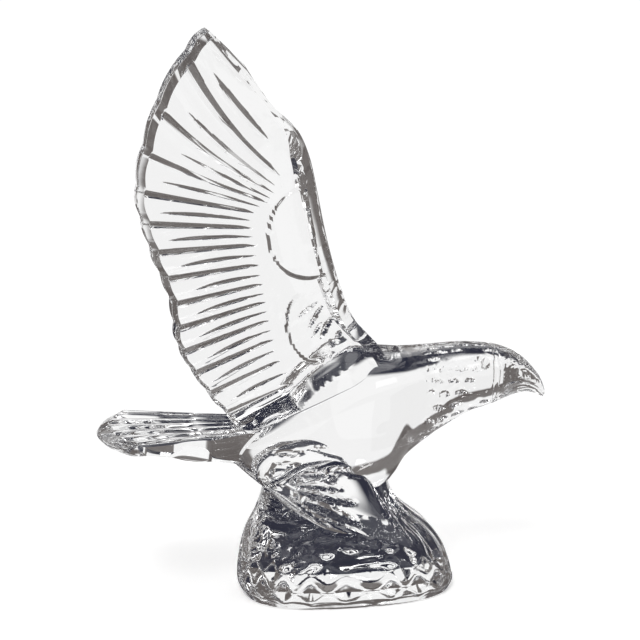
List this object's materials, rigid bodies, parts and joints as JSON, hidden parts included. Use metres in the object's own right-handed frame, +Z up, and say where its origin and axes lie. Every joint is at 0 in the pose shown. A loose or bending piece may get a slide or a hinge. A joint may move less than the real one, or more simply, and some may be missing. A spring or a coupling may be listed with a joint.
{
  "type": "crystal eagle figurine",
  "caption": "Clear crystal figurine of an eagle landing on a rock, its two wings raised together and its tail spread behind.",
  "frame": {"origin": "middle of the rock's flat underside", "axes": "+Z up, +X towards the beak, Y across the bird, which is alike on both sides of Y = 0"},
  "size_m": [0.1424, 0.0458, 0.1772],
  "materials": {
    "crystal": "polished"
  },
  "bodies": {
    "root": {"eagle": "crystal"}
  },
  "joints": []
}
